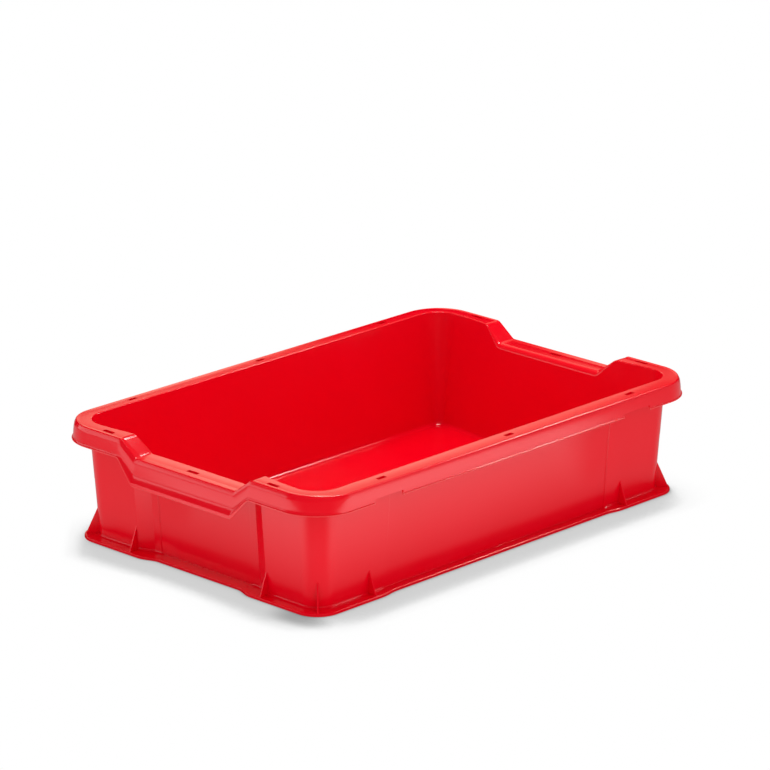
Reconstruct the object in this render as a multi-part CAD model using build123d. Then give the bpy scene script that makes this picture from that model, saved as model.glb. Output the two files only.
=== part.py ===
from build123d import *
from math import cos, radians, sin, sqrt, tan
import os

os.makedirs("parts", exist_ok=True)

# A one-piece moulded stacking tray, modelled region by region.
# X runs along the tray, Y across it and Z up. The origin is under its middle, on the surface it stands on.
# Only the left front quarter is drawn (negative X and Y), and the other quarters are its mirror images.

# Overall sizes, in millimetres
length = 600.0  # over the lower edge of the skirt
width = 400.0  # over the lower edge of the skirt
height = 134.0

# Rim and skirt
corner_radius = 50.0  # in plan, at the lower edge of the skirt
rim_width = 19.0  # from the outer edge of the top face to the inside of the wall
rim_thickness = 3.0
skirt_height = 21.0  # from the top face of the rim to the lower edge of the skirt
skirt_thickness = 2.5
skirt_flare = 3.0  # how far the skirt leans out over its height
slot_length = 12.0
slot_width = 4.0
rail_slot_from_corner = 56.0  # from the end of the straight rail to the centre of its outer slot
notch_length = 42.0  # shallow cut in the lower edge of the long skirts, under each outer slot
notch_depth = 5.0

# Hand dips in the two ends
grip_length = 150.0
grip_depth = 17.0
ramp_run = 22.5  # along Y, from the grip up to the full height of the rim
lip_reach = 3.0  # how far the finger lip stands out from the skirt
lip_drop = 4.0
lip_thickness = 2.5
lip_start = 0.1  # share of the full lip at the top of the ramp

# Walls and floor
wall_thickness = 3.2
wall_draft = 4.2  # degrees
floor_thickness = 3.5
floor_fillet = 12.0  # inside, where the walls meet the floor
recess_depth = 8.0  # how far the middle of an end wall is set in, under the grip
cheek_run = 17.5  # along Y, the slanted side of that recess
panel_step = 0.8  # depth of the shallow panels in the outer faces
long_panel_gap = 24.0  # along X, from a long gusset to the edge of the long panel
end_panel_gap = 15.0  # along Y, from the inner end of a slanted side to the edge of the end panel

# Foot
foot_reach = 13.5  # how far a corner foot stands out from the bottom of the wall
foot_radius = 28.0
foot_leg = 96.0  # along X, from the end of the foot to where the long base flange starts
foot_past_recess = 12.5  # along Y, how far a corner foot runs on past the edge of the recess
end_flange_reach = 14.7  # from the bottom of the recessed wall
long_flange_reach = 10.2
flange_curve = 25.0  # length of the S-curve from a corner foot to a base flange
cove_height = 18.0  # hollow blend from a base flange up to the wall
gusset_height = 25.5
gusset_thickness = 2.5
gusset_edge = 1.5  # from the tip of a gusset to the edge of the foot
gusset_inset = 8.0  # along X, from the end of the foot to its long gusset
gusset_gap = 0.5  # along Y, from the edge of the recess to the end gusset

# Levels
z_floor = floor_thickness
z_under = height - rim_thickness
z_skirt = height - skirt_height

# Plan of the rim. All rounded corners of a quarter share one centre, and d is the distance out from it.
corner_x = length / 2 - corner_radius
corner_y = width / 2 - corner_radius
d_rim_out = corner_radius - skirt_flare
d_rim_in = d_rim_out - rim_width
slope = tan(radians(wall_draft))


def d_wall(z):
    """Distance out to the outer face of the wall at a height."""
    return d_rim_in + wall_thickness - (z_under - z) * slope


def d_inside(z, set_in=0.0):
    """Distance out to the inner face of the wall at a height."""
    return d_wall(z) - wall_thickness - set_in


d_foot = d_wall(z_floor) + foot_reach
d_end_flange = d_wall(z_floor) - recess_depth + end_flange_reach
d_long_flange = d_wall(z_floor) + long_flange_reach

# Stations across an end, as distances from the middle
y_grip = grip_length / 2
y_ramp = y_grip + ramp_run
y_cheek = y_ramp - cheek_run
y_panel = y_cheek - end_panel_gap
y_foot = y_ramp - foot_past_recess
y_gusset = y_ramp + gusset_gap + gusset_thickness / 2

# Stations along a side
x_foot = corner_x + d_foot - foot_leg
x_gusset = x_foot + gusset_inset
x_panel = x_gusset - gusset_thickness / 2 - long_panel_gap
x_slot = corner_x - rail_slot_from_corner

corner_axis = Axis((-corner_x, -corner_y, 0), (0, 0, 1))


# Placing a section drawn as (distance out, height)
def end_plane(y):
    return Plane(origin=(-corner_x, y, 0), x_dir=(-1, 0, 0), z_dir=(0, 1, 0))


def side_plane(x):
    return Plane(origin=(x, -corner_y, 0), x_dir=(0, -1, 0), z_dir=(-1, 0, 0))


def along_end(section, y_low, y_high):
    """Runs a section along the left end."""
    return extrude(end_plane(y_low) * section, y_high - y_low)


def along_side(section, x_low, x_high):
    """Runs a section along the front side."""
    return extrude(side_plane(x_high) * section, x_high - x_low)


def round_corner(section):
    """Turns a section round the left front corner."""
    return revolve(end_plane(-corner_y) * section, corner_axis, 90)


def between(section_a, y_a, section_b, y_b):
    """Runs from one section of the left end straight to another."""
    return loft([end_plane(y_a) * section_a, end_plane(y_b) * section_b], ruled=True)


def upright(outline, z_low, z_high):
    """Raises a plan outline between two levels."""
    return extrude(Plane.XY.offset(z_low) * outline, z_high - z_low)


def polygon(*points):
    return make_face(Polyline(*points, close=True))


# Sections
def wall_section(set_in=0.0):
    """Drafted wall, from the floor to the underside of the rim."""
    foot_out = d_wall(z_floor) - set_in
    top_out = d_wall(z_under) - set_in
    foot_in = foot_out - wall_thickness
    top_in = top_out - wall_thickness
    return polygon((foot_out, z_floor), (top_out, z_under), (top_in, z_under), (foot_in, z_floor))


def fillet_sections(set_in=0.0):
    """Inside fillet between a wall and the floor, halved along its bisector."""
    corner = (d_inside(z_floor, set_in), z_floor)
    half_turn = radians(45 - wall_draft / 2)
    tangent = floor_fillet * tan(half_turn)
    foot = (corner[0] - tangent, z_floor)
    middle = (foot[0] + floor_fillet * sin(half_turn), z_floor + floor_fillet * (1 - cos(half_turn)))
    top = (corner[0] + tangent * sin(radians(wall_draft)), z_floor + tangent * cos(radians(wall_draft)))
    bisector = Line(corner, middle)
    on_floor = make_face([Line(foot, corner), bisector, TangentArc(foot, middle, tangent=(1, 0))])
    on_wall = make_face([Line(top, corner), bisector, TangentArc(top, middle, tangent=(-slope, -1))])
    return on_floor, on_wall


def step_section(set_in=0.0):
    """What a shallow panel takes off the outer face of a wall."""
    foot = (d_wall(z_floor) - set_in, z_floor)
    top = (d_wall(z_under) - set_in, z_under)
    return polygon(foot, top, (top[0] - panel_step, z_under), (foot[0] - panel_step, z_floor))


def rim_section():
    return polygon((d_rim_in, z_under), (d_rim_out, z_under), (d_rim_out, height), (d_rim_in, height))


def skirt_section(drop=0.0, lip=0.0):
    """Flared skirt, lowered by drop, with a share of the full finger lip."""
    low = z_skirt - drop
    high = z_under - drop
    outer_low = d_rim_out + skirt_flare
    points = [(d_rim_out - skirt_thickness, high), (d_rim_out, high), (outer_low, low)]
    if lip:
        lip_top = low - lip * lip_drop
        points.append((outer_low + lip * lip_reach, lip_top))
        points.append((outer_low + lip * lip_reach, lip_top - lip * lip_thickness))
        points.append((outer_low - skirt_thickness, low - lip * lip_thickness))
    else:
        points.append((outer_low - skirt_thickness, low))
    return polygon(*points)


def cove_section(set_in, d_edge):
    """Hollow blend from the edge of a base flange up to the face of a panel."""
    foot = (d_wall(z_floor) - set_in, z_floor)
    top = (d_wall(z_floor + cove_height) - set_in, z_floor + cove_height)
    edge = (d_edge, z_floor)
    return make_face([Line(foot, top), TangentArc(top, edge, tangent=(-slope, -1)), Line(edge, foot)])


# Tops of the end walls follow the dip
def dip_space():
    """Everything above the underside of the rim, over the whole left end."""
    z_dip = z_under - grip_depth
    above = height + rim_thickness
    outline = polygon(
        (-corner_y, z_under), (-y_ramp, z_under), (-y_grip, z_dip), (y_grip, z_dip),
        (y_ramp, z_under), (corner_y, z_under), (corner_y, above), (-corner_y, above),
    )
    return extrude(Plane.YZ.offset(-corner_x - d_rim_out) * outline, d_rim_out)


# Floor
def floor_outline():
    """Outside of the walls at the floor, with the recess in each end."""
    d = d_wall(z_floor)
    outline = RectangleRounded(2 * (corner_x + d), 2 * (corner_y + d), d)
    x_out = corner_x + d
    x_in = x_out - recess_depth
    recess = polygon((-x_out, -y_ramp), (-x_in, -y_cheek), (-x_in, y_cheek), (-x_out, y_ramp))
    return outline - recess - mirror(recess, Plane.YZ)


def floor_panel():
    return upright(floor_outline(), 0, z_floor)


# Walls
def long_wall():
    wall = along_side(wall_section(), -corner_x, corner_x)
    return wall - along_side(step_section(), -x_panel, x_panel)


def end_panel():
    wall = along_end(wall_section(recess_depth), -y_cheek, y_cheek)
    step = along_end(step_section(recess_depth), -y_panel, y_panel)
    return wall - step - dip_space()


def end_cheek():
    return between(wall_section(), -y_ramp, wall_section(recess_depth), -y_cheek) - dip_space()


def end_shoulder():
    return along_end(wall_section(), -corner_y, -y_ramp)


def corner_wall():
    return round_corner(wall_section())


def fillets():
    """Fillets of the left front quarter's corner, shoulder and cheek."""
    strips = []
    for section, set_in_section in zip(fillet_sections(), fillet_sections(recess_depth)):
        strips.append(round_corner(section))
        strips.append(along_end(section, -corner_y, -y_ramp))
        strips.append(between(section, -y_ramp, set_in_section, -y_cheek))
    return strips


# Rim
def slot(x, y, along):
    size = (slot_length, slot_width) if along == "x" else (slot_width, slot_length)
    return Pos(x, y, 0) * Box(*size, 3 * height)


def rim_rail():
    y = -corner_y - d_rim_out + rim_width / 2
    rail = along_side(rim_section(), -corner_x, corner_x)
    for x in (-x_slot, 0, x_slot):
        rail = rail - slot(x, y, "x")
    return rail


def rim_corner():
    return round_corner(rim_section())


def rim_shoulder():
    x = -corner_x - d_rim_out + rim_width / 2
    shoulder = along_end(rim_section(), -corner_y, -y_ramp)
    return shoulder - slot(x, -(corner_y + y_ramp) / 2, "y")


def rim_ramp():
    """Slanted part of the rim. Its inner edge follows the inner face of the wall."""
    z_low = z_under - grip_depth
    z_cheek = z_under - grip_depth * cheek_run / ramp_run
    band = polygon((-y_ramp, z_under), (-y_ramp, height), (-y_grip, height - grip_depth), (-y_grip, z_low))
    ramp = extrude(Plane.YZ.offset(-corner_x - d_rim_out) * band, d_rim_out)
    inside = polygon(
        (-corner_x - d_rim_in, -y_ramp), (-corner_x - d_inside(z_cheek, recess_depth), -y_cheek),
        (-corner_x - d_inside(z_low, recess_depth), -y_grip), (-corner_x, -y_grip), (-corner_x, -y_ramp),
    )
    return ramp - upright(inside, 0, 2 * height)


def grip_top():
    z_low = z_under - grip_depth
    x_out = -corner_x - d_rim_out
    x_in = -corner_x - d_inside(z_low, recess_depth)
    outline = polygon((x_out, -y_grip), (x_in, -y_grip), (x_in, y_grip), (x_out, y_grip))
    top = upright(outline, z_low, height - grip_depth)
    return top - slot((x_out + x_in) / 2, 0, "y")


# Skirt
def skirt_rail():
    rail = along_side(skirt_section(), -corner_x, corner_x)
    notch = Box(notch_length, 4 * corner_radius, 2 * notch_depth)
    for x in (-x_slot, x_slot):
        rail = rail - Pos(x, -corner_y, z_skirt) * notch
    return rail


def skirt_corner():
    return round_corner(skirt_section())


def skirt_shoulder():
    return along_end(skirt_section(), -corner_y, -y_ramp)


def skirt_ramp():
    return between(skirt_section(0, lip_start), -y_ramp, skirt_section(grip_depth, 1), -y_grip)


def grip_skirt():
    return along_end(skirt_section(grip_depth, 1), -y_grip, y_grip)


# Foot
def foot_corner():
    """Corner foot, from the recess in the end to the base flange of the long side."""
    x_out = -corner_x - d_foot
    y_out = -corner_y - d_foot
    plate = polygon((x_out, y_out), (-x_foot, y_out), (-x_foot, -y_foot), (x_out, -y_foot))
    corner = plate.vertices().sort_by_distance((x_out, y_out))[0]
    return upright(fillet(corner, foot_radius) - floor_outline(), 0, z_floor)


def flange_outline(half_span, d_ends, d_middle):
    """Plan of a base flange as (along, out), narrowing from the corner feet by S-curves."""
    half_middle = half_span - flange_curve
    bend = (half_span - flange_curve / 2, (d_ends + d_middle) / 2)
    edges = []
    for way in (-1, 1):
        edges.append(Line((way * half_span, 0), (way * half_span, d_ends)))
        edges.append(TangentArc((way * half_span, d_ends), (way * bend[0], bend[1]), tangent=(-way, 0)))
        edges.append(TangentArc((way * half_middle, d_middle), (way * bend[0], bend[1]), tangent=(way, 0)))
    edges.append(Line((-half_middle, d_middle), (half_middle, d_middle)))
    edges.append(Line((-half_span, 0), (half_span, 0)))
    return make_face(edges)


def front_flange():
    outline = Pos(0, -corner_y) * mirror(flange_outline(x_foot, d_foot, d_long_flange), Plane.XZ)
    plate = upright(outline - floor_outline(), 0, z_floor)
    cove = cove_section(panel_step, d_long_flange)
    return plate + along_side(cove, -x_panel, x_panel)


def left_flange():
    outline = Pos(-corner_x, 0) * Rot(0, 0, 90) * flange_outline(y_foot, d_foot, d_end_flange)
    plate = upright(outline - floor_outline(), 0, z_floor)
    cove = cove_section(recess_depth + panel_step, d_end_flange)
    return plate + along_end(cove, -y_panel, y_panel)


def gusset_section(d_tip):
    """Triangular web from the foot up to the wall."""
    top = z_floor + gusset_height
    return polygon((d_wall(z_floor), z_floor), (d_tip - gusset_edge, z_floor), (d_wall(top), top))


def gussets():
    """The three webs of one corner: on the end, on the long side and on the diagonal."""
    half = gusset_thickness / 2
    on_end = along_end(gusset_section(d_foot), -y_gusset - half, -y_gusset + half)
    on_side = along_side(gusset_section(d_foot), -x_gusset - half, -x_gusset + half)
    # The diagonal web reaches to the rounded corner of the foot.
    shift = (d_foot - foot_radius) * sqrt(2)
    diagonal = Plane(origin=(-corner_x, -corner_y, 0), x_dir=(-1, -1, 0), z_dir=(-1, 1, 0))
    on_corner = extrude(diagonal * gusset_section(shift + foot_radius), half, both=True)
    return [on_end, on_side, on_corner]


# Writing the nodes
def save(name, shape):
    export_step(shape, f"parts/{name}.step")


def save_quarters(name, shape):
    """Left front, and its mirror images."""
    save(f"{name}_left_front", shape)
    save(f"{name}_left_rear", mirror(shape, Plane.XZ))
    save(f"{name}_right_front", mirror(shape, Plane.YZ))
    save(f"{name}_right_rear", mirror(mirror(shape, Plane.XZ), Plane.YZ))


def save_ends(name, shape):
    save(f"{name}_left", shape)
    save(f"{name}_right", mirror(shape, Plane.YZ))


def save_sides(name, shape):
    save(f"{name}_front", shape)
    save(f"{name}_rear", mirror(shape, Plane.XZ))


def save_group(name, shapes):
    """Saves separate solids as one node."""
    save(name, Compound(children=[shape.solid() for shape in shapes]))


def in_all_quarters(shapes):
    """The shapes of the left front quarter, and their mirror images."""
    left = shapes + [mirror(shape, Plane.XZ) for shape in shapes]
    return left + [mirror(shape, Plane.YZ) for shape in left]


def save_fillets():
    """The fillets run all round the floor, so they share one node."""
    straight = []
    for section in fillet_sections():
        front = along_side(section, -corner_x, corner_x)
        straight += [front, mirror(front, Plane.XZ)]
    for section in fillet_sections(recess_depth):
        left = along_end(section, -y_cheek, y_cheek)
        straight += [left, mirror(left, Plane.YZ)]
    save_group("floor_fillets", straight + in_all_quarters(fillets()))


save("floor_panel", floor_panel())
save_sides("long_wall", long_wall())
save_ends("end_panel", end_panel())
save_quarters("end_cheek", end_cheek())
save_quarters("end_shoulder", end_shoulder())
save_quarters("corner_wall", corner_wall())
save_fillets()
save_sides("rim_rail", rim_rail())
save_quarters("rim_corner", rim_corner())
save_quarters("rim_shoulder", rim_shoulder())
save_quarters("rim_ramp", rim_ramp())
save_ends("grip_top", grip_top())
save_sides("skirt_rail", skirt_rail())
save_quarters("skirt_corner", skirt_corner())
save_quarters("skirt_shoulder", skirt_shoulder())
save_quarters("skirt_ramp", skirt_ramp())
save_ends("grip_skirt", grip_skirt())
save_quarters("foot_corner", foot_corner())
save_sides("base_flange", front_flange())
save_ends("end_flange", left_flange())
save_group("corner_gussets", in_all_quarters(gussets()))
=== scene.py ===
import math

import bmesh
import bpy
from bpy.props import FloatProperty, IntProperty, PointerProperty, StringProperty
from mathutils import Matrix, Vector


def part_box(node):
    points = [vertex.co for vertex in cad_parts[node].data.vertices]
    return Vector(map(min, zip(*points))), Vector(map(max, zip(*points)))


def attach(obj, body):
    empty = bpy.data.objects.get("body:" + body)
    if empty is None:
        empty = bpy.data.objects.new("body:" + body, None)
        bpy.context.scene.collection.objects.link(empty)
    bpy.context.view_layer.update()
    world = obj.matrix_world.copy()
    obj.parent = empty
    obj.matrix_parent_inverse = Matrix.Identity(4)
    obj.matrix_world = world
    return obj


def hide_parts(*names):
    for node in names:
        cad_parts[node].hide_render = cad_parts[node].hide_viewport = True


bl_info = {
    "name": "Stacking tray",
    "version": (1, 0, 0),
    "blender": (4, 5, 0),
    "location": "View3D > Sidebar > Tray",
    "description": "Models a moulded stacking tray on its CAD frame, with its finish and a studio stage",
    "category": "Add Mesh",
}

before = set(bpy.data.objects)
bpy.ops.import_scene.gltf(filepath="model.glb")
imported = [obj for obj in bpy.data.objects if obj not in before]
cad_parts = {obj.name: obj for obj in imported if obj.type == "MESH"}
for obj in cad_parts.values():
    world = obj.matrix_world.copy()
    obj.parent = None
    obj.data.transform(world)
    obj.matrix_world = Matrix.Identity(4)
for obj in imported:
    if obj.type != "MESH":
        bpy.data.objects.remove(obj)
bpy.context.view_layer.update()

MM = 0.001
UP = Vector((0, 0, 1))
WELD = 0.01 * MM  # points closer than this are merged

# The camera: degrees round and above the tray, then how far back, to the right and up in its own picture
VIEW_AZIMUTH = -46.01
VIEW_ELEVATION = 17.94
CAMERA_PLACE = (5015.18 * MM, 3.99 * MM, 139.43 * MM)
CAMERA_LENS = 214.29


def corner_of(node, end):
    """Lowest (0) or highest (1) corner of a CAD node, in metres."""
    return Vector(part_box(node)[end])


# Sizes read from the frame. Only the left front quarter is drawn, and the rest is its mirror image.
# All rounded corners of the quarter share one centre, and a distance out is measured from it.
CENTRE = Vector((corner_of("rim_corner_left_front", 1).x, corner_of("rim_corner_left_front", 1).y, 0))
TOP = corner_of("rim_rail_front", 1).z
RIM_UNDER = corner_of("rim_rail_front", 0).z
RIM_OUT = CENTRE.y - corner_of("rim_rail_front", 0).y
RIM_IN = CENTRE.y - corner_of("rim_rail_front", 1).y
SKIRT_OUT = CENTRE.y - corner_of("skirt_rail_front", 0).y
SKIRT_LOW = corner_of("skirt_corner_left_front", 0).z
FLOOR = corner_of("floor_panel", 1).z
WALL_OUT_TOP = CENTRE.y - corner_of("long_wall_front", 0).y
WALL_OUT_LOW = CENTRE.y - corner_of("floor_panel", 0).y
DRAFT = (WALL_OUT_TOP - WALL_OUT_LOW) / (RIM_UNDER - FLOOR)
WALL = WALL_OUT_TOP - RIM_IN
FOOT_OUT = CENTRE.y - corner_of("foot_corner_left_front", 0).y
Y_GRIP = corner_of("grip_top_left", 1).y
Y_RAMP = -corner_of("rim_shoulder_left_front", 1).y
Y_CHEEK = corner_of("end_panel_left", 1).y
X_FOOT = corner_of("base_flange_front", 1).x
Y_FOOT = corner_of("end_flange_left", 1).y
GRIP_DROP = TOP - corner_of("grip_top_left", 1).z

# Small details of the moulding
FLOOR_EDGE = 4.0 * MM  # where the section starts and ends, out from the corner's centre
SKIRT_THICKNESS = 2.5 * MM
CREST_FALL = 0.2  # share of the rim's fall at the middle of its top
RIM_PROUD = 0.1 * MM  # how far the rim's edge stands past the plain solid before it is rounded
BULGE_IN, BULGE_UP = 0.9 * MM, 10.0 * MM  # a soft bend in the skirt's face, from its lower edge
LEAN_AT_BULGE = 0.43  # share of the end skirts' lean at that bend
LEAN_LIFT = 0.8  # share of the rim's fall that the leaning ends don't have
LEAN_TURN = 0.7  # share of a corner's turn over which the lean grows
GRIP_EDGE_IN = 2.5 * MM  # how far the wide rounding carries a hand dip's edge inwards
WALL_LINE = 67.4 * MM  # height of the fine line round the walls
WALL_LINE_DROP, WALL_LINE_STEP = 0.5 * MM, 0.15 * MM
SIDE_EASE, END_EASE = 0.4 * MM, 0.5 * MM  # half the width of the upright step at a panel's edge
SIDE_FLANGE = (5.0 * MM, 0.0)  # from and to where the foot's rounding tightens, past the long panel's edge
END_FLANGE = (1.0 * MM, -5.0 * MM)  # the same, past the end panel's edge
INSIDE_CURVE = 20.0 * MM  # how far within the hand dip the inside of an end wall goes on curving
CHEEK_EASE = 0.8 * MM
RAMP_EASES = (3.0 * MM, 2.0 * MM)  # rounding of a ramp's upper and lower bend
LIP_EASE = 1.5 * MM

# Slots and notches
SLOT_FROM_CORNER = 56.0 * MM
CUT_DEPTH = 12.0 * MM
SLOT_ROUND = 1.2 * MM
NOTCH_ROUND = 0.6 * MM

# Gusset webs
WEB_PAST_RECESS = 0.5 * MM
WEB_PAST_FLANGE = 8.0 * MM
WEB_IN_WALL, WEB_IN_FOOT = 1.5 * MM, 1.0 * MM
WEB_FROM_TIP = 1.2 * MM
WEB_EASE = 0.45 * MM
CORNER_WEB_RISE = 3.0 * MM  # how much higher the middle web of a corner stands


class TraySizes(bpy.types.PropertyGroup):
    """Sizes of the moulding that the plain solids leave out, in metres"""

    rim_fall: FloatProperty(
        name="Rim fall", description="How far the rim's outer edge lies below its inner edge",
        default=1.0 * MM, subtype="DISTANCE", unit="LENGTH")
    rim_inner_round: FloatProperty(
        name="Rim inner edge", description="Rounding of the rim's inner edge",
        default=1.0 * MM, subtype="DISTANCE", unit="LENGTH")
    grip_round: FloatProperty(
        name="Grip rounding", description="Rounding of the rim's inner edge in the hand dips",
        default=6.5 * MM, subtype="DISTANCE", unit="LENGTH")
    rim_outer_round: FloatProperty(
        name="Rim outer edge", description="Rounding of the rim's outer edge",
        default=1.3 * MM, subtype="DISTANCE", unit="LENGTH")
    end_lean: FloatProperty(
        name="End lean", description="How far the skirt leans in at the top round the ends",
        default=2.0 * MM, subtype="DISTANCE", unit="LENGTH")
    floor_round: FloatProperty(
        name="Inside fillet", description="Rounding inside, where the walls meet the floor",
        default=4.0 * MM, subtype="DISTANCE", unit="LENGTH")
    floor_in: FloatProperty(
        name="Floor set in", description="How far the inner walls lean in at the floor, past the outer draft",
        default=9.0 * MM, subtype="DISTANCE", unit="LENGTH")
    foot_round: FloatProperty(
        name="Foot fillet", description="Rounding outside, where the walls meet the corner feet",
        default=2.5 * MM, subtype="DISTANCE", unit="LENGTH")
    flange_round: FloatProperty(
        name="Flange fillet", description="Rounding outside, where the panels meet the base flange",
        default=0.1 * MM, subtype="DISTANCE", unit="LENGTH")
    foot_corner: FloatProperty(
        name="Foot corner", description="Radius of a corner foot in plan",
        default=28.0 * MM, subtype="DISTANCE", unit="LENGTH")
    set_in: FloatProperty(
        name="Recess", description="How far the middle of an end wall is set in",
        default=8.0 * MM, subtype="DISTANCE", unit="LENGTH")
    panel_step: FloatProperty(
        name="Panel step", description="Depth of the shallow panels in the outer faces",
        default=1.1 * MM, subtype="DISTANCE", unit="LENGTH")
    panel_x: FloatProperty(
        name="Long panel", description="Half the length of the panel in a long wall",
        default=172.1 * MM, subtype="DISTANCE", unit="LENGTH")
    panel_y: FloatProperty(
        name="End panel", description="Half the length of the panel in an end wall",
        default=70.0 * MM, subtype="DISTANCE", unit="LENGTH")
    long_flange: FloatProperty(
        name="Long flange", description="How far the base flange of a long side stands out from its wall",
        default=10.2 * MM, subtype="DISTANCE", unit="LENGTH")
    end_flange: FloatProperty(
        name="End flange", description="How far the base flange of an end stands out from its recessed wall",
        default=14.7 * MM, subtype="DISTANCE", unit="LENGTH")
    flange_curve: FloatProperty(
        name="Flange curve", description="Length of the S-curve from a corner foot to a base flange",
        default=25.0 * MM, subtype="DISTANCE", unit="LENGTH")
    slot_length: FloatProperty(
        name="Slot length", description="Length of a drain slot in the rim of a long side",
        default=12.5 * MM, subtype="DISTANCE", unit="LENGTH")
    end_slot_length: FloatProperty(
        name="End slot length", description="Length of a drain slot in the rim of a short end",
        default=16.0 * MM, subtype="DISTANCE", unit="LENGTH")
    slot_width: FloatProperty(
        name="Slot width", description="Width of a drain slot in the rim",
        default=5.2 * MM, subtype="DISTANCE", unit="LENGTH")
    notch_length: FloatProperty(
        name="Notch length", description="Length of a notch in the lower edge of the long skirts",
        default=42.0 * MM, subtype="DISTANCE", unit="LENGTH")
    notch_depth: FloatProperty(
        name="Notch depth", description="Depth of a notch in the lower edge of the long skirts",
        default=5.0 * MM, subtype="DISTANCE", unit="LENGTH")
    gusset_height: FloatProperty(
        name="Gusset height", description="Height of a gusset above the foot",
        default=27.5 * MM, subtype="DISTANCE", unit="LENGTH")
    gusset_thickness: FloatProperty(
        name="Gusset thickness", description="Thickness of a gusset",
        default=1.8 * MM, subtype="DISTANCE", unit="LENGTH")
    corner_steps: IntProperty(
        name="Corner steps", description="Faces round a quarter turn of a corner", default=20, min=4, max=64)


class TrayFinish(bpy.types.PropertyGroup):
    """Colours of the plastic, and the pale red painted along its sharp edges as highlights"""

    red: StringProperty(
        name="Red", description="Colour of the plastic, as an sRGB hex value", default="F3001E")
    red_deep: StringProperty(
        name="Deep red", description="Colour where the pigment lies a little denser", default="EE0017")
    # Painted highlight: a pale red painted along the sharp edges in place of their highlights
    painted_highlight: StringProperty(
        name="Rubbed red", description="Colour of edges rubbed pale by handling", default="FF7A74")


# Picking and shaping in edit mode
def deselect_all():
    bpy.ops.object.select_all(action="DESELECT")


def pick(piece, test):
    """Selects the points of a piece in edit mode that pass a test."""
    mesh = bmesh.from_edit_mesh(piece.data)
    mesh.select_mode = {"VERT"}
    for element in (*mesh.faces, *mesh.edges, *mesh.verts):
        element.select = False
    for point in mesh.verts:
        point.select = test(point)
    mesh.select_flush(True)
    bmesh.update_edit_mesh(piece.data)


def picked(piece):
    """Numbers of the selected points."""
    mesh = bmesh.from_edit_mesh(piece.data)
    return {point.index for point in mesh.verts if point.select}


def pick_band(piece, bands, ring=None):
    """Selects the points that belong to some bands of the section, in one ring or in the whole piece."""
    mesh = bmesh.from_edit_mesh(piece.data)
    layer = mesh.verts.layers.deform.verify()
    numbers = {piece.vertex_groups[band].index for band in bands}
    pick(piece, lambda point: (ring is None or point.index in ring)
         and not numbers.isdisjoint(point[layer].keys()))


def start_point(name, place):
    """A new piece of a single point, in edit mode."""
    deselect_all()
    bpy.ops.mesh.primitive_plane_add(size=MM, location=(0, 0, 0))
    piece = bpy.context.object
    piece.name = name
    bpy.ops.object.mode_set(mode="EDIT")
    bpy.ops.mesh.select_mode(type="VERT")
    bpy.ops.mesh.merge(type="CENTER")
    bpy.ops.transform.translate(value=place)
    return piece


def draw_on(step):
    bpy.ops.mesh.extrude_region_move(TRANSFORM_OT_translate={"value": step})


def mark_band(piece, band):
    """Puts the selected points in a band of their own."""
    bpy.ops.object.vertex_group_remove_from(use_all_groups=True)
    bpy.ops.object.vertex_group_assign_new()
    piece.vertex_groups[-1].name = band


def apply_modifier(piece, kind, **settings):
    bpy.context.view_layer.objects.active = piece
    bpy.ops.object.modifier_add(type=kind)
    modifier = piece.modifiers[-1]
    for name, value in settings.items():
        setattr(modifier, name, value)
    bpy.ops.object.modifier_apply(modifier=modifier.name)


def join(pieces):
    """Joins pieces into the first of them."""
    deselect_all()
    for piece in pieces:
        piece.select_set(True)
    bpy.context.view_layer.objects.active = pieces[0]
    bpy.ops.object.join()
    return pieces[0]


def clean_up(piece):
    """Merges doubles and turns the faces outwards."""
    bpy.ops.object.mode_set(mode="EDIT")
    bpy.ops.mesh.select_all(action="SELECT")
    bpy.ops.mesh.remove_doubles(threshold=WELD)
    bpy.ops.mesh.normals_make_consistent(inside=False)
    bpy.ops.object.mode_set(mode="OBJECT")


# Easing along the walls
def eased(value, start, end, blend):
    """Runs from 0 at start to 1 at end in a straight line whose two bends are rounded over a length."""
    span = end - start
    along = (value - start) / span
    half = blend / abs(span)

    def bend(x):
        if x <= -half:
            return 0.0
        if x >= half:
            return x
        return (x + half) ** 2 / (4 * half)

    return bend(along) - bend(along - 1)


def eased_bends(value, start, end, first, last):
    """As eased, with its two bends rounded over different lengths."""
    share = (value - start) / (end - start)
    return eased(value, start, end, first) if share < 0.5 else eased(value, start, end, last)


def s_curve(value, start, end):
    """Runs from 0 at start to 1 at end, level at both."""
    share = min(max((value - start) / (end - start), 0), 1)
    return share * share * (3 - 2 * share)


# The section of the moulding, as (distance out, height)
def wall_out(z):
    return WALL_OUT_TOP - (RIM_UNDER - z) * DRAFT


# The lower edge of the skirt, and the same points drawn out to the full finger lip of a grip
LIP_POINTS = {
    "skirt_foot": ((-0.95, 1.60), (-0.50, -0.40)),
    "lip_top": ((-0.20, 1.25), (2.55, -3.90)),
    "lip_edge": ((0.0, 0.75), (2.95, -4.60)),
    "lip_low": ((-0.03, 0.30), (3.00, -7.40)),
    "lip_under": ((-0.35, 0.0), (2.40, -8.10)),
    "lip_root": ((-1.90, 0.0), (-2.20, -3.40)),
    "skirt_inside": ((-2.50, 0.55), (-2.55, -2.20)),
}

# The points of the rounding at a wall's foot, and of the one at the rim's inner edge
BLENDS = ["blend_%d" % step for step in range(9)]
EDGES = ["edge_%d" % step for step in range(8)]


def fillet_points(rounding):
    """The rounding where a wall meets a foot or flange, out and up from where the two faces meet."""
    for step in range(len(BLENDS)):
        turn = math.pi / 2 * step / (len(BLENDS) - 1)
        up = rounding * (1 - math.sin(turn))
        yield Vector((rounding * (1 - math.cos(turn)) + up * DRAFT, up))


def edge_points(rounding):
    """The rounded inner edge of the rim, out and up from where the wall would meet the top."""
    for step in range(len(EDGES)):
        turn = math.pi / 2 * step / (len(EDGES) - 1)
        up = rounding * (math.sin(turn) - 1)
        yield Vector((rounding * (1 - math.cos(turn)) + up * DRAFT, up))


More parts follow.
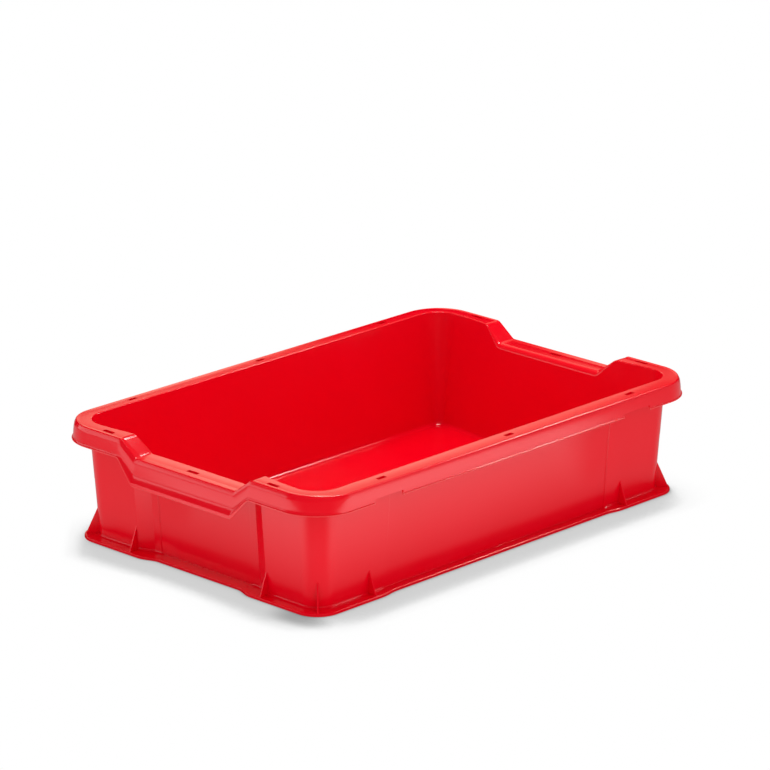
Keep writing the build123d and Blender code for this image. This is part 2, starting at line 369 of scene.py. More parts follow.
def section_points(sizes):
    """Corners of the section in order, from the floor over the rim and back to the underside."""
    skirt = {}
    for band, (plain, lip) in LIP_POINTS.items():
        skirt[band] = Vector((SKIRT_OUT, SKIRT_LOW)) + Vector(plain) * MM
    points = {
        "floor_edge": (FLOOR_EDGE, FLOOR),
        "inside_foot": (wall_out(FLOOR) - WALL - sizes.floor_in, FLOOR),
        **{band: Vector((RIM_IN, TOP)) + point
           for band, point in zip(EDGES, edge_points(sizes.rim_inner_round))},
        "rim_crest": ((RIM_IN + RIM_OUT) / 2, TOP - CREST_FALL * sizes.rim_fall),
        "rim_outer": (RIM_OUT + RIM_PROUD, TOP - sizes.rim_fall),
        "skirt_bulge": (SKIRT_OUT - BULGE_IN, SKIRT_LOW + BULGE_UP),
        **skirt,
        "skirt_top": (RIM_OUT - SKIRT_THICKNESS, RIM_UNDER),
        "wall_top": (WALL_OUT_TOP, RIM_UNDER),
        "wall_line": (wall_out(WALL_LINE), WALL_LINE),
        "wall_below": (wall_out(WALL_LINE - WALL_LINE_DROP) - WALL_LINE_STEP, WALL_LINE - WALL_LINE_DROP),
        **{band: Vector((wall_out(FLOOR), FLOOR)) + point
           for band, point in zip(BLENDS, fillet_points(sizes.foot_round))},
        "foot_edge": (FOOT_OUT, FLOOR),
        "foot_low": (FOOT_OUT, 0),
        "under_edge": (FLOOR_EDGE, 0),
    }
    return {band: Vector(point) for band, point in points.items()}


def section_rounds(sizes):
    """Rounding and number of faces of each rounded corner of the section."""
    return {
        "inside_foot": (sizes.floor_round, 8),
        "rim_crest": (4.0 * MM, 6),
        "rim_outer": (sizes.rim_outer_round, 8),
        "skirt_bulge": (7.0 * MM, 6),
        "skirt_top": (1.5 * MM, 3),
        "wall_top": (2.0 * MM, 4),
        "foot_edge": (1.1 * MM, 4),
        "foot_low": (0.5 * MM, 2),
    }


class Station:
    """Shape of the section at one place along the walls."""

    def __init__(self, sizes, set_in=0.0, inside=0.0, drop=0.0, lip=0.0, panel=0.0,
                 reach=FOOT_OUT, flange=0.0, lean=0.0):
        self.sizes = sizes
        self.set_in = set_in
        self.inside = inside
        self.drop = drop
        self.lip = lip
        self.panel = panel
        self.reach = reach
        self.flange = flange
        self.lean = lean

    def moves(self):
        """How far each band of the plain section is moved here, as (out, up)."""
        down = -self.drop
        top_in = -self.set_in - self.drop * DRAFT
        wall_in = -self.set_in - self.panel
        lean_in = -self.lean * self.sizes.end_lean
        lift = LEAN_LIFT * self.lean * self.sizes.rim_fall
        moves = {
            "floor_edge": (-self.inside, 0), "inside_foot": (-self.inside, 0),
            "rim_crest": (-self.set_in / 2, down), "rim_outer": (lean_in, down + lift),
            "skirt_bulge": (LEAN_AT_BULGE * lean_in, down), "skirt_top": (0, down),
            "wall_top": (top_in - self.panel, down), "wall_line": (wall_in, 0), "wall_below": (wall_in, 0),
            "foot_edge": (self.reach - FOOT_OUT, 0), "foot_low": (self.reach - FOOT_OUT, 0),
        }
        for band, (plain, lip) in LIP_POINTS.items():
            grown = (Vector(lip) - Vector(plain)) * MM * self.lip
            moves[band] = (grown.x, grown.y + down)
        foot, flange = fillet_points(self.sizes.foot_round), fillet_points(self.sizes.flange_round)
        for band, plain, tighter in zip(BLENDS, foot, flange):
            moves[band] = (tighter - plain) * self.flange + Vector((wall_in, 0))
        rail, grip = edge_points(self.sizes.rim_inner_round), edge_points(self.sizes.grip_round)
        for band, plain, wider in zip(EDGES, rail, grip):
            moves[band] = (wider - plain - Vector((GRIP_EDGE_IN, 0))) * (self.drop / GRIP_DROP)
            moves[band] += Vector((-self.inside - self.drop * DRAFT, down))
        return {band: Vector(move) for band, move in moves.items()}


def reshape_ring(piece, ring, out, before, after):
    """Moves the bands of the newest ring from the shape of one station to that of the next."""
    old, new = before.moves(), after.moves()
    alike = {}
    for band in new:
        change = new[band] - old[band]
        if change.length > 1e-7:
            alike.setdefault(tuple(round(x, 9) for x in change), []).append(band)
    for change, bands in alike.items():
        pick_band(piece, bands, ring)
        bpy.ops.transform.translate(value=out * change[0] + UP * change[1])
    pick(piece, lambda point: point.index in ring)


def side_station(x, sizes):
    """The section of the front wall at a distance from its middle."""
    in_panel = s_curve(x, sizes.panel_x + SIDE_EASE, sizes.panel_x - SIDE_EASE)
    curve = s_curve(x, X_FOOT, X_FOOT - sizes.flange_curve)
    reach = FOOT_OUT + (WALL_OUT_LOW + sizes.long_flange - FOOT_OUT) * curve
    return Station(sizes, panel=sizes.panel_step * in_panel, reach=reach,
                   flange=s_curve(x, *(sizes.panel_x + past for past in SIDE_FLANGE)))


def end_station(y, sizes):
    """The section of the left end at a distance from its middle."""
    set_in = sizes.set_in * eased(y, Y_RAMP, Y_CHEEK, CHEEK_EASE)
    drop_share = eased_bends(y, Y_RAMP, Y_GRIP, *RAMP_EASES)
    lip_share = eased(y, Y_RAMP + LIP_EASE, Y_GRIP, LIP_EASE)
    in_panel = s_curve(y, sizes.panel_y + END_EASE, sizes.panel_y - END_EASE)
    curve = s_curve(y, Y_FOOT, Y_FOOT - sizes.flange_curve)
    reach = FOOT_OUT + (WALL_OUT_LOW - sizes.set_in + sizes.end_flange - FOOT_OUT) * curve
    inside = sizes.set_in * s_curve(y, -CENTRE.y, Y_GRIP - INSIDE_CURVE)
    return Station(sizes, set_in=set_in, inside=inside, drop=GRIP_DROP * drop_share, lip=lip_share,
                   panel=sizes.panel_step * in_panel, reach=reach,
                   flange=s_curve(y, *(sizes.panel_y + past for past in END_FLANGE)), lean=1.0)


def corner_reach(turn, radius):
    """Distance out to the edge of the corner foot, whose radius is smaller than the other corners'."""
    offset = FOOT_OUT - radius
    across = min(turn, math.pi / 2 - turn)
    flat = FOOT_OUT / math.cos(across)
    if FOOT_OUT * math.tan(across) <= offset:
        return flat
    middle = offset * (math.cos(turn) + math.sin(turn))
    return middle + math.sqrt(max(middle ** 2 - 2 * offset ** 2 + radius ** 2, 0))


# The tray's shell
def side_stops(sizes):
    """Distances from the middle of the front at which the section is set again, going outwards."""
    start = X_FOOT - sizes.flange_curve
    stops = [start + sizes.flange_curve * step / 6 for step in range(7)]
    stops += [sizes.panel_x + step * MM for step in (-0.4, 0, 0.4, 1.7, 3, 5)]
    return sorted(stops) + [-CENTRE.x]


def end_stops(sizes):
    """Distances from the middle of an end at which the section is set again, going inwards."""
    stops = [Y_RAMP + step * MM for step in (3, 2.25, 1.5, 0.75, 0, -0.75, -1.5, -2.25, -3)]
    stops += [(Y_RAMP + Y_CHEEK) / 2]
    stops += [-CENTRE.y - step * MM for step in (4, 9, 14, 20, 26, 32)]
    stops += [Y_CHEEK + step * MM for step in (0.8, 0.4, 0, -0.4, -0.8)]
    stops += [Y_GRIP + step * MM for step in (2, 1.2, 0.5, -0.5, -1.2, -2)]
    stops += [sizes.panel_y + step * MM for step in (1, 0.5, 0, -0.5, -1.2, -2.5, -3.8, -5)]
    start = Y_FOOT - sizes.flange_curve
    stops += [start + sizes.flange_curve * step / 6 for step in (0, 1, 2, 3, 5, 6)]
    stops += [Y_GRIP * share for share in (0.85, 0.78, 0.35, 0)]
    return sorted(stops, reverse=True)


def draw_section(sizes):
    """The section at the middle of the front wall, with its corners rounded."""
    points = section_points(sizes)
    bands = list(points)

    def place(band):
        return Vector((0, CENTRE.y - points[band].x, points[band].y))

    shell = start_point("tray_shell", place(bands[0]))
    mark_band(shell, bands[0])
    for before, band in zip(bands, bands[1:]):
        draw_on(place(band) - place(before))
        mark_band(shell, band)
    for band, (size, faces) in section_rounds(sizes).items():
        pick_band(shell, [band])
        bpy.ops.mesh.bevel(offset=size, segments=faces, affect="VERTICES", clamp_overlap=False)
    bpy.ops.mesh.select_all(action="SELECT")
    return shell


def sweep_quarter(shell, sizes):
    """Runs the section along half the front, round the corner and along half the left end."""
    here = Station(sizes)
    out = Vector((0, -1, 0))
    there = side_station(0, sizes)
    reshape_ring(shell, picked(shell), out, here, there)
    here, x = there, 0
    for stop in side_stops(sizes):
        draw_on((x - stop, 0, 0))
        there = side_station(stop, sizes)
        reshape_ring(shell, picked(shell), out, here, there)
        here, x = there, stop
    for step in range(1, sizes.corner_steps + 1):
        turn = math.pi / 2 / sizes.corner_steps
        bpy.ops.mesh.spin(steps=1, angle=turn, center=CENTRE, axis=UP)
        out = Vector((-math.sin(step * turn), -math.cos(step * turn), 0))
        there = Station(sizes, reach=corner_reach(step * turn, sizes.foot_corner),
                        lean=s_curve(step, 0, LEAN_TURN * sizes.corner_steps))
        reshape_ring(shell, picked(shell), out, here, there)
        here = there
    y = -CENTRE.y
    for stop in end_stops(sizes):
        draw_on((0, y - stop, 0))
        there = end_station(stop, sizes)
        reshape_ring(shell, picked(shell), Vector((-1, 0, 0)), here, there)
        here, y = there, stop


def close_opening(shell, z):
    """Fills the opening that the sweep leaves in the floor at a level."""
    mesh = bmesh.from_edit_mesh(shell.data)
    rim = {point.index for point in mesh.verts if point.is_boundary and abs(point.co.z - z) < 0.1 * MM}
    pick(shell, lambda point: point.index in rim)
    bpy.ops.mesh.edge_face_add()


def mirror_quarter(piece):
    bpy.ops.object.mode_set(mode="OBJECT")
    apply_modifier(piece, "MIRROR", use_axis=(True, True, False), use_mirror_merge=True, merge_threshold=WELD)


def box_cutter(size, place, rounding):
    """A box with rounded upright edges, for cutting a slot or notch."""
    deselect_all()
    bpy.ops.mesh.primitive_cube_add(size=1, location=place)
    cutter = bpy.context.object
    bpy.ops.transform.resize(value=size)
    bpy.ops.object.transform_apply(location=True, rotation=True, scale=True)
    bpy.ops.object.mode_set(mode="EDIT")
    mesh = bmesh.from_edit_mesh(cutter.data)
    bpy.ops.mesh.select_mode(type="EDGE")
    for element in (*mesh.faces, *mesh.edges, *mesh.verts):
        element.select = False
    for edge in mesh.edges:
        along = (edge.verts[0].co - edge.verts[1].co).normalized()
        edge.select_set(abs(along.z) > 0.9)
    bmesh.update_edit_mesh(cutter.data)
    bpy.ops.mesh.bevel(offset=rounding, segments=4, affect="EDGES")
    bpy.ops.mesh.select_mode(type="VERT")
    bpy.ops.object.mode_set(mode="OBJECT")
    return cutter


def slot_cutters(sizes):
    """Cutters for the slots in the rim and the notches in the long skirts, as one object."""
    notch_size = (sizes.notch_length, CUT_DEPTH, 2 * sizes.notch_depth)
    long_size = (sizes.slot_length, sizes.slot_width, CUT_DEPTH)
    across_size = (sizes.slot_width, sizes.end_slot_length, CUT_DEPTH)
    middle = (RIM_IN + RIM_OUT) / 2
    x_slot = -CENTRE.x - SLOT_FROM_CORNER
    y_slot = (-CENTRE.y + Y_RAMP) / 2
    x_grip = (corner_of("grip_top_left", 0).x + corner_of("grip_top_left", 1).x) / 2
    cutters = []
    for way in (-1, 1):
        for x in (-x_slot, 0, x_slot):
            place = (x, way * (-CENTRE.y + middle), TOP)
            cutters.append(box_cutter(long_size, place, SLOT_ROUND))
        for x in (-x_slot, x_slot):
            place = (x, way * (-CENTRE.y + SKIRT_OUT), SKIRT_LOW)
            cutters.append(box_cutter(notch_size, place, NOTCH_ROUND))
        for y in (-y_slot, y_slot):
            cutters.append(box_cutter(across_size, (way * (-CENTRE.x + middle), y, TOP), SLOT_ROUND))
        cutters.append(box_cutter(across_size, (way * x_grip, 0, TOP - GRIP_DROP), SLOT_ROUND))
    return join(cutters)


def smooth_finish(piece):
    """Smooth shading that keeps the creases and the flat faces true."""
    deselect_all()
    piece.select_set(True)
    bpy.context.view_layer.objects.active = piece
    bpy.ops.object.shade_smooth_by_angle(angle=math.radians(32))
    apply_modifier(piece, "WEIGHTED_NORMAL", mode="FACE_AREA", weight=50, keep_sharp=True)
    piece.vertex_groups.clear()


def finish_piece(piece, nodes, material):
    piece.data.materials.clear()
    piece.data.materials.append(material)
    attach(piece, "root")
    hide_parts(*nodes)


class TRAY_OT_shell(bpy.types.Operator):
    """Model the tray's floor, walls, rim, skirt and foot as one moulding"""

    bl_idname = "tray.shell"
    bl_label = "Moulded shell"

    def execute(self, context):
        sizes = context.scene.tray_sizes
        shell = draw_section(sizes)
        sweep_quarter(shell, sizes)
        mirror_quarter(shell)
        bpy.ops.object.mode_set(mode="EDIT")
        close_opening(shell, FLOOR)
        close_opening(shell, 0)
        clean_up(shell)
        cutters = slot_cutters(sizes)
        apply_modifier(shell, "BOOLEAN", operation="DIFFERENCE", solver="EXACT", object=cutters)
        bpy.data.objects.remove(cutters)
        clean_up(shell)
        smooth_finish(shell)
        nodes = [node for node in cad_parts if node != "corner_gussets"]
        finish_piece(shell, nodes, moulded_polypropylene(context.scene.tray_finish))
        return {"FINISHED"}


def draw_gusset(name, corners, across, thickness):
    """A triangular web from its three corners, with its edges eased."""
    web = start_point(name, corners[0] - across * thickness / 2)
    draw_on(corners[1] - corners[0])
    draw_on(corners[2] - corners[1])
    bpy.ops.mesh.select_all(action="SELECT")
    bpy.ops.mesh.edge_face_add()
    draw_on(across * thickness)
    bpy.ops.mesh.select_all(action="SELECT")
    bpy.ops.mesh.normals_make_consistent(inside=False)
    bpy.ops.mesh.bevel(offset=WEB_EASE, segments=2, affect="EDGES", clamp_overlap=True)
    bpy.ops.object.mode_set(mode="OBJECT")
    return web


class TRAY_OT_gussets(bpy.types.Operator):
    """Model the three webs of a corner foot and mirror them to the other corners"""

    bl_idname = "tray.gussets"
    bl_label = "Corner gussets"

    def execute(self, context):
        sizes = context.scene.tray_sizes
        high = FLOOR + sizes.gusset_height
        y_end = Y_RAMP + WEB_PAST_RECESS + sizes.gusset_thickness / 2
        x_side = X_FOOT + WEB_PAST_FLANGE
        diagonal = Vector((-1, -1, 0)).normalized()
        tip_corner = corner_reach(math.pi / 4, sizes.foot_corner)
        places = (
            ("web_end", Vector((CENTRE.x, -y_end, 0)), Vector((-1, 0, 0)), FOOT_OUT, high),
            ("web_side", Vector((-x_side, CENTRE.y, 0)), Vector((0, -1, 0)), FOOT_OUT, high),
            ("web_corner", CENTRE, diagonal, tip_corner, high + CORNER_WEB_RISE),
        )
        webs = []
        for name, start, out, tip, peak in places:
            corners = (
                start + out * (wall_out(FLOOR) - WEB_IN_WALL) + UP * (FLOOR - WEB_IN_FOOT),
                start + out * (tip - WEB_FROM_TIP) + UP * (FLOOR - WEB_IN_FOOT),
                start + out * (wall_out(peak) - WEB_IN_WALL) + UP * (peak + WEB_IN_WALL),
            )
            webs.append(draw_gusset(name, corners, out.cross(UP), sizes.gusset_thickness))
        gussets = join(webs)
        gussets.name = "corner_gusset_webs"
        mirror_quarter(gussets)
        clean_up(gussets)
        smooth_finish(gussets)
        finish_piece(gussets, ["corner_gussets"], moulded_polypropylene(context.scene.tray_finish))
        return {"FINISHED"}


# Finish
def linear(hex_colour):
    """Turns an sRGB hex value into linear red, green and blue, with full alpha."""
    parts = [int(hex_colour[start:start + 2], 16) / 255 for start in (0, 2, 4)]
    return (*(p / 12.92 if p <= 0.04045 else ((p + 0.055) / 1.055) ** 2.4 for p in parts), 1.0)


def add_node(tree, kind, inputs=None, **settings):
    """Adds a shader node with its settings. An input is a value or the socket that feeds it."""
    node = tree.nodes.new(kind)
    for name, value in settings.items():
        setattr(node, name, value)
    for name, value in (inputs or {}).items():
        if isinstance(value, bpy.types.NodeSocket):
            tree.links.new(value, node.inputs[name])
        else:
            node.inputs[name].default_value = value
    return node


def moulded_polypropylene(finish):
    """Injection-moulded polypropylene, dyed red through."""
    name = "moulded_polypropylene_red"
    if name in bpy.data.materials:
        return bpy.data.materials[name]
    material = bpy.data.materials.new(name)
    material.use_nodes = True
    tree = material.node_tree
    shader = tree.nodes["Principled BSDF"]
    place = add_node(tree, "ShaderNodeTexCoord").outputs["Object"]
    # The pigment is not quite even: slow clouds about 90 mm across.
    clouds = add_node(tree, "ShaderNodeTexNoise", {"Vector": place, "Scale": 1 / (90 * MM), "Detail": 2.0})
    colour = add_node(tree, "ShaderNodeMix", {
        "Factor": clouds.outputs["Fac"], "A": linear(finish.red), "B": linear(finish.red_deep)},
        data_type="RGBA").outputs["Result"]
    # Painted highlight: the sharp edges are painted pale in place of the highlights they catch, a thin line
    # along each edge that stands out, on the upper walls and the skirt's lower edge.
    painted_highlight = add_node(tree, "ShaderNodeAmbientOcclusion", {"Distance": 1.2 * MM},
                      samples=6, inside=True, only_local=True)
    painted_highlight = add_node(tree, "ShaderNodeMapRange", {
        "Value": painted_highlight.outputs["AO"], "From Min": 0.5, "From Max": 0.9,
        "To Min": 0.5, "To Max": 0.0}).outputs["Result"]
    height = add_node(tree, "ShaderNodeSeparateXYZ", {0: place}).outputs["Z"]
    for start, end in ((45 * MM, 75 * MM), (116 * MM, 115 * MM)):
        reached = add_node(tree, "ShaderNodeMapRange", {
            "Value": height, "From Min": start, "From Max": end}).outputs["Result"]
        painted_highlight = add_node(tree, "ShaderNodeMath", {0: painted_highlight, 1: reached}, operation="MULTIPLY").outputs[0]
    colour = add_node(tree, "ShaderNodeMix", {"Factor": painted_highlight, "A": colour, "B": linear(finish.painted_highlight)},
                      data_type="RGBA").outputs["Result"]
    tree.links.new(colour, shader.inputs["Base Color"])
    # The mould's polish varies in patches about 40 mm across, and the edges painted pale as highlights are
    # duller.
    patches = add_node(tree, "ShaderNodeTexNoise", {"Vector": place, "Scale": 1 / (40 * MM), "Detail": 3.0})
    polish = add_node(tree, "ShaderNodeMapRange", {
        "Value": patches.outputs["Fac"], "From Min": 0.3, "From Max": 0.7,
        "To Min": 0.13, "To Max": 0.18}).outputs["Result"]
    polish = add_node(tree, "ShaderNodeMath", {
        0: painted_highlight, 1: 0.2, 2: polish}, operation="MULTIPLY_ADD").outputs[0]
    tree.links.new(polish, shader.inputs["Roughness"])
    # Cooling leaves the faces gently wavy, about 35 mm from crest to crest, under a fine grain of 1.2 mm.
    waves = add_node(tree, "ShaderNodeTexNoise", {"Vector": place, "Scale": 1 / (35 * MM), "Detail": 1.0})
    grain = add_node(tree, "ShaderNodeTexNoise", {"Vector": place, "Scale": 1 / (1.2 * MM), "Detail": 1.0})
    relief = add_node(tree, "ShaderNodeMath", {
        0: grain.outputs["Fac"], 1: 0.06, 2: waves.outputs["Fac"]}, operation="MULTIPLY_ADD").outputs[0]
    bump = add_node(tree, "ShaderNodeBump", {"Height": relief, "Distance": 0.07 * MM, "Strength": 1.0})
    tree.links.new(bump.outputs["Normal"], shader.inputs["Normal"])
    shader.inputs["IOR"].default_value = 1.49
    return material


class TRAY_OT_stage(bpy.types.Operator):
    """Set up the pale floor, the studio lights and the camera"""

    bl_idname = "tray.stage"
    bl_label = "Studio stage"

    def execute(self, context):
        scene = context.scene
        scene.view_settings.view_transform = "Standard"
        deselect_all()
        bpy.ops.mesh.primitive_plane_add(size=14, location=(0, 0, 0))
        floor = context.object
        floor.name = "studio_floor"
        floor.data.materials.append(floor_paint())
        light_studio(scene)
        place_camera(scene)
        return {"FINISHED"}


# How the floor comes out of the tray's shade: from one distance to another, and the light it gains there
FLOOR_RISE = ((0.046, 0.056, 0.28), (0.055, 0.165, 0.92), (0.165, 0.40, 1.0))
FLOOR_GLOW = 0.42  # the floor's light outside the pools
# Pools of light on the floor, which the plastic mirrors: centre and half size as (right, away), and strength
FLOOR_POOLS = (
    ((0.75, -0.33), (1.25, 0.38), 2.2),
    ((-0.90, -0.45), (2.40, 0.33), 1.6),
)


def spread(tree, place, centre, size, edge, strength):
    """Strength inside an ellipse, fading to nothing over a share of its radius."""
    scale = [1 / length for length in size]
    moved = add_node(tree, "ShaderNodeMapping", {
        "Vector": place, "Scale": (*scale, 1), "Location": (*(-c * s for c, s in zip(centre, scale)), 0)})
    ball = add_node(tree, "ShaderNodeTexGradient", {"Vector": moved.outputs[0]}, gradient_type="SPHERICAL")
    faded = add_node(tree, "ShaderNodeMapRange", {
        "Value": ball.outputs["Fac"], "From Max": edge, "To Max": strength}, interpolation_type="SMOOTHSTEP")
    return faded.outputs["Result"]


def floor_paint():
    """Pale matt floor, which the camera sees as white outside the soft shadow."""
    material = bpy.data.materials.new("matt_white_paper")
    material.use_nodes = True
    tree = material.node_tree
    tree.nodes.clear()
    place = add_node(tree, "ShaderNodeTexCoord").outputs["Object"]
    # Distance out from the tray, along which the floor comes out of its shade
    apart = add_node(tree, "ShaderNodeVectorMath", {0: place}, operation="ABSOLUTE").outputs[0]
    apart = add_node(tree, "ShaderNodeVectorMath", {0: apart, 1: (-CENTRE.x, -CENTRE.y, 0)},
                     operation="SUBTRACT").outputs[0]
    apart = add_node(tree, "ShaderNodeVectorMath", {0: apart, 1: (0, 0, 0)}, operation="MAXIMUM").outputs[0]
    apart = add_node(tree, "ShaderNodeVectorMath", {0: apart}, operation="LENGTH").outputs["Value"]
    lit = None
    for start, end, rise in FLOOR_RISE:
        part = add_node(tree, "ShaderNodeMapRange", {
            "Value": apart, "From Min": start, "From Max": end, "To Max": rise}).outputs["Result"]
        lit = add_node(tree, "ShaderNodeMath", {0: lit, 1: part}).outputs[0] if lit else part
    turned = add_node(tree, "ShaderNodeMapping", {
        "Vector": place, "Rotation": (0, 0, -math.radians(VIEW_AZIMUTH))}).outputs[0]
    glow = FLOOR_GLOW
    for centre, size, strength in FLOOR_POOLS:
        pool = spread(tree, turned, centre, size, 0.3, strength)
        glow = add_node(tree, "ShaderNodeMath", {0: glow, 1: pool}, operation="MAXIMUM").outputs[0]
    glow = add_node(tree, "ShaderNodeMath", {0: glow, 1: lit}, operation="MINIMUM").outputs[0]
    # Nothing lights the floor before the near corner, in a sector that opens towards the camera
    sector = add_node(tree, "ShaderNodeMapping", {"Vector": place, "Location": (0.245, 0.145, 0)}).outputs[0]
    sector = add_node(tree, "ShaderNodeMapping", {
        "Vector": sector, "Rotation": (0, 0, math.radians(90 - VIEW_AZIMUTH))}).outputs[0]
    sector = add_node(tree, "ShaderNodeTexGradient", {
        "Vector": sector}, gradient_type="RADIAL").outputs["Fac"]
    sector = add_node(tree, "ShaderNodeMath", {0: sector, 1: 0.5}, operation="SUBTRACT").outputs[0]
    sector = add_node(tree, "ShaderNodeMath", {0: sector}, operation="ABSOLUTE").outputs[0]
    sector = add_node(tree, "ShaderNodeMapRange", {
        "Value": sector, "From Min": 25 / 360, "From Max": 65 / 360, "To Min": 1.0, "To Max": 0.0},
        interpolation_type="SMOOTHSTEP").outputs["Result"]
    deep = add_node(tree, "ShaderNodeMapRange", {
        "Value": apart, "From Min": 0.05, "From Max": 0.28, "To Min": 0.3, "To Max": 0.95}).outputs["Result"]
    before_corner = add_node(tree, "ShaderNodeMath", {0: sector, 1: deep}, operation="MULTIPLY").outputs[0]
    shaded = add_node(tree, "ShaderNodeMath", {0: 1.0, 1: before_corner}, operation="SUBTRACT").outputs[0]
    glow = add_node(tree, "ShaderNodeMath", {0: glow, 1: shaded}, operation="MULTIPLY").outputs[0]
    mirrored = add_node(tree, "ShaderNodeEmission", {"Strength": glow})
    # The light that the floor throws back on the tray, less where the tray shades it
    thrown = add_node(tree, "ShaderNodeMapRange", {
        "Value": apart, "From Min": 0.01, "From Max": 0.08, "To Min": 0.2, "To Max": 1.08},
        interpolation_type="SMOOTHSTEP").outputs["Result"]
    bounce = add_node(tree, "ShaderNodeEmission", {"Strength": thrown})
    # The shadow that the camera sees: white paper, shaded where the tray shuts out the room's light
    lean = add_node(tree, "ShaderNodeCombineXYZ", dict(enumerate(on_set(0.7, 0.2, 1.0).normalized())))
    open_sky = add_node(tree, "ShaderNodeAmbientOcclusion", {
        "Distance": 0.068, "Normal": lean.outputs[0]}, samples=8)
    shade = add_node(tree, "ShaderNodeMapRange", {
        "Value": open_sky.outputs["AO"], "From Min": 0.72, "From Max": 0.93, "To Min": 0.63},
        interpolation_type="SMOOTHSTEP").outputs["Result"]
    touch = add_node(tree, "ShaderNodeAmbientOcclusion", {"Distance": 0.012}, samples=8)
    contact = add_node(tree, "ShaderNodeMapRange", {
        "Value": touch.outputs["AO"], "From Min": 0.55, "From Max": 0.95, "To Min": 0.6}).outputs["Result"]
    shade = add_node(tree, "ShaderNodeMath", {0: shade, 1: contact}, operation="MULTIPLY").outputs[0]
    # It is deepest under the near left foot, and ends a little way past the left end
    under_foot = spread(tree, place, (-0.292, -0.165), (0.028, 0.05), 0.8, 0.4)
    under_foot = add_node(tree, "ShaderNodeMath", {0: 1.0, 1: under_foot}, operation="SUBTRACT").outputs[0]
    shade = add_node(tree, "ShaderNodeMath", {0: shade, 1: under_foot}, operation="MULTIPLY").outputs[0]
    across = add_node(tree, "ShaderNodeSeparateXYZ", {0: turned}).outputs["X"]
    past_end = add_node(tree, "ShaderNodeMapRange", {
        "Value": across, "From Min": -0.28, "From Max": -0.345},
        interpolation_type="SMOOTHSTEP").outputs["Result"]
    shade = add_node(tree, "ShaderNodeMath", {0: shade, 1: past_end}, operation="MAXIMUM").outputs[0]
    paper = add_node(tree, "ShaderNodeEmission", {"Strength": shade})
    rays = add_node(tree, "ShaderNodeLightPath")
    unseen = add_node(tree, "ShaderNodeMixShader", {
        "Fac": rays.outputs["Is Glossy Ray"], 1: bounce.outputs[0], 2: mirrored.outputs[0]})
    seen = add_node(tree, "ShaderNodeMixShader", {
        "Fac": rays.outputs["Is Camera Ray"], 1: unseen.outputs[0], 2: paper.outputs[0]})
    add_node(tree, "ShaderNodeOutputMaterial", {"Surface": seen.outputs[0]})
    material.cycles.emission_sampling = "NONE"
    return material


# Small patches of light on the card beside the large one: centre and half size as (right, up), and strength
CARD_PATCHES = (
    ((-0.26, 0.225), (0.32, 0.095), 1.4),
    ((-0.36, 0.40), (0.10, 0.16), 0.35),
    ((0.52, 0.35), (0.10, 0.12), 0.35),
    ((0.37, 0.37), (0.13, 0.085), 0.9),
    ((0.03, 0.40), (0.11, 0.09), 2.4),
)


def back_card():
    """A card behind the tray with soft patches of light, which only the gloss of the rim shows."""
    deselect_all()
    bpy.ops.mesh.primitive_plane_add(size=2, location=on_set(0.76, -0.10, 0.0),
                                     rotation=(math.pi / 2, 0, math.radians(VIEW_AZIMUTH)))
    card = bpy.context.object
    card.name = "back_card"
    material = bpy.data.materials.new("lit_card")
    material.use_nodes = True
    tree = material.node_tree
    tree.nodes.clear()
    place = add_node(tree, "ShaderNodeTexCoord").outputs["Object"]
    along = add_node(tree, "ShaderNodeSeparateXYZ", {0: place})
    height = along.outputs["Y"]
    # The large patch is cut off below, a little weaker to the left, and fades upwards
    patch = spread(tree, place, (-0.02, 0.55), (0.62, 0.45), 0.8, 0.95)
    for across, start, end, low, high in (
            (height, 0.32, 0.40, 0.0, 1.0), (along.outputs["X"], -0.35, -0.05, 0.7, 1.0),
            (height, 0.42, 0.60, 1.85, 0.7)):
        share = add_node(tree, "ShaderNodeMapRange", {
            "Value": across, "From Min": start, "From Max": end,
            "To Min": low, "To Max": high}).outputs["Result"]
        patch = add_node(tree, "ShaderNodeMath", {0: patch, 1: share}, operation="MULTIPLY").outputs[0]
    for centre, size, strength in CARD_PATCHES:
        more = spread(tree, place, centre, size, 0.7, strength)
        patch = add_node(tree, "ShaderNodeMath", {0: patch, 1: more}, operation="MAXIMUM").outputs[0]
    light = add_node(tree, "ShaderNodeEmission", {"Color": (1, 0.94, 0.72, 1), "Strength": patch})
    add_node(tree, "ShaderNodeOutputMaterial", {"Surface": light.outputs[0]})
    material.cycles.emission_sampling = "NONE"
    card.data.materials.append(material)
    card.visible_camera = False
    card.visible_diffuse = False
    card.visible_shadow = False


def softbox(name, place, aim, size, power):
    """A rectangular studio light turned towards a point."""
    bpy.ops.object.light_add(type="AREA", location=place)
    lamp = bpy.context.object
    lamp.name = name
    lamp.data.shape = "RECTANGLE"
    lamp.data.size, lamp.data.size_y = size
    lamp.data.energy = power
    lamp.rotation_euler = (Vector(place) - Vector(aim)).to_track_quat("Z", "Y").to_euler()
    return lamp


def on_set(depth, right, height):
    """A place on the set, from the middle of the tray: away from the camera, to its right, and up."""
    azimuth = math.radians(VIEW_AZIMUTH)
    away = Vector((-math.sin(azimuth), math.cos(azimuth), 0))
    return away * depth + Vector((away.y, -away.x, 0)) * right + UP * height


# Place and aim as (away, right, up) on the set, size, power, and whether dull and glossy light show it
SOFTBOXES = {
    "overhead_softbox": ((0.45, 0.08, 1.35), (0, 0, 0.1), (0.75, 0.35), 9.0, True, True),
    "corner_fill": ((-0.65, 0.25, 0.35), (-0.34, -0.06, 0.08), (0.4, 0.4), 0.3, True, False),
    "right_softbox": ((-0.10, 1.10, 0.85), (-0.1, 0.1, 0.13), (0.4, 0.35), 0.9, False, True),
    "right_spot": ((0.39, 1.08, 1.06), (0, 0, 0.1), (0.2, 0.2), 6.0, False, True),
    "left_softbox": ((-0.05, -1.10, 0.30), (-0.2, -0.15, 0.13), (0.9, 0.28), 1.3, False, True),
    "glint_softbox": ((0.40, 0.05, 1.30), (0, 0, 0.1), (0.45, 0.45), 6.0, False, True),
}


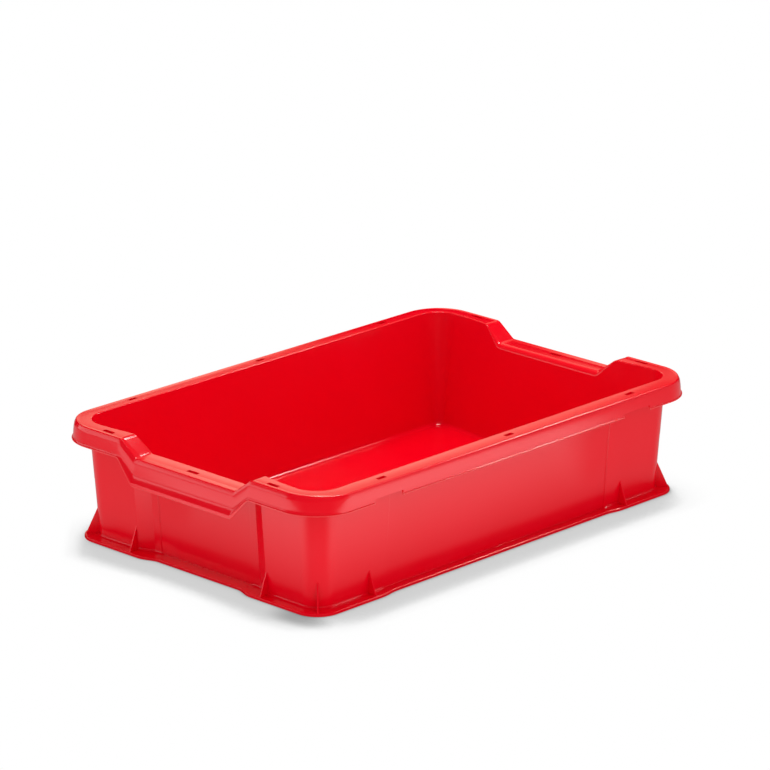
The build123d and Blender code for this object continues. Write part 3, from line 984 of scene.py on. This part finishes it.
def light_studio(scene):
    """The softboxes, the card and a white room that the gloss hardly shows."""
    for name, (place, aim, size, power, dull, glossy) in SOFTBOXES.items():
        lamp = softbox(name, on_set(*place), on_set(*aim), size, power)
        lamp.visible_diffuse, lamp.visible_glossy = dull, glossy
    back_card()
    world = bpy.data.worlds.new("studio_room")
    scene.world = world
    world.use_nodes = True
    tree = world.node_tree
    tree.nodes.clear()
    rays = add_node(tree, "ShaderNodeLightPath")
    room, gloss, white = (
        add_node(tree, "ShaderNodeBackground", {"Color": (1, 1, 1, 1), "Strength": strength}).outputs[0]
        for strength in (0.77, 0.02, 1.0))
    unseen = add_node(tree, "ShaderNodeMixShader", {
        "Fac": rays.outputs["Is Glossy Ray"], 1: room, 2: gloss}).outputs[0]
    seen = add_node(tree, "ShaderNodeMixShader", {
        "Fac": rays.outputs["Is Camera Ray"], 1: unseen, 2: white}).outputs[0]
    add_node(tree, "ShaderNodeOutputWorld", {"Surface": seen})
    world.cycles.sampling_method = "NONE"


def place_camera(scene):
    """Long lens from the front left, a little above the rim."""
    azimuth, elevation = math.radians(VIEW_AZIMUTH), math.radians(VIEW_ELEVATION)
    back = Vector((math.sin(azimuth) * math.cos(elevation), -math.cos(azimuth) * math.cos(elevation),
                   math.sin(elevation)))
    right = Vector((math.cos(azimuth), math.sin(azimuth), 0))
    place = sum((way * far for way, far in zip((back, right, back.cross(right)), CAMERA_PLACE)), Vector())
    bpy.ops.object.camera_add(location=place, rotation=(math.pi / 2 - elevation, 0, azimuth))
    camera = bpy.context.object
    camera.data.lens = CAMERA_LENS
    camera.data.sensor_width = 36
    camera.data.clip_end = 100
    scene.camera = camera


class VIEW3D_PT_tray(bpy.types.Panel):
    """Sidebar panel that lists the steps in order"""

    bl_label = "Stacking tray"
    bl_space_type = "VIEW_3D"
    bl_region_type = "UI"
    bl_category = "Tray"

    def draw(self, context):
        for step in STEPS:
            self.layout.operator(step.bl_idname)
        for group in (context.scene.tray_sizes, context.scene.tray_finish):
            for name in group.__annotations__:
                self.layout.prop(group, name)


STEPS = (TRAY_OT_shell, TRAY_OT_gussets, TRAY_OT_stage)
CLASSES = (TraySizes, TrayFinish, *STEPS, VIEW3D_PT_tray)


def register():
    for item in CLASSES:
        bpy.utils.register_class(item)
    bpy.types.Scene.tray_sizes = PointerProperty(type=TraySizes)
    bpy.types.Scene.tray_finish = PointerProperty(type=TrayFinish)


def unregister():
    del bpy.types.Scene.tray_finish
    del bpy.types.Scene.tray_sizes
    for item in reversed(CLASSES):
        bpy.utils.unregister_class(item)


def main():
    register()
    bpy.ops.tray.shell()
    bpy.ops.tray.gussets()
    bpy.ops.tray.stage()


if __name__ == "__main__":
    main()
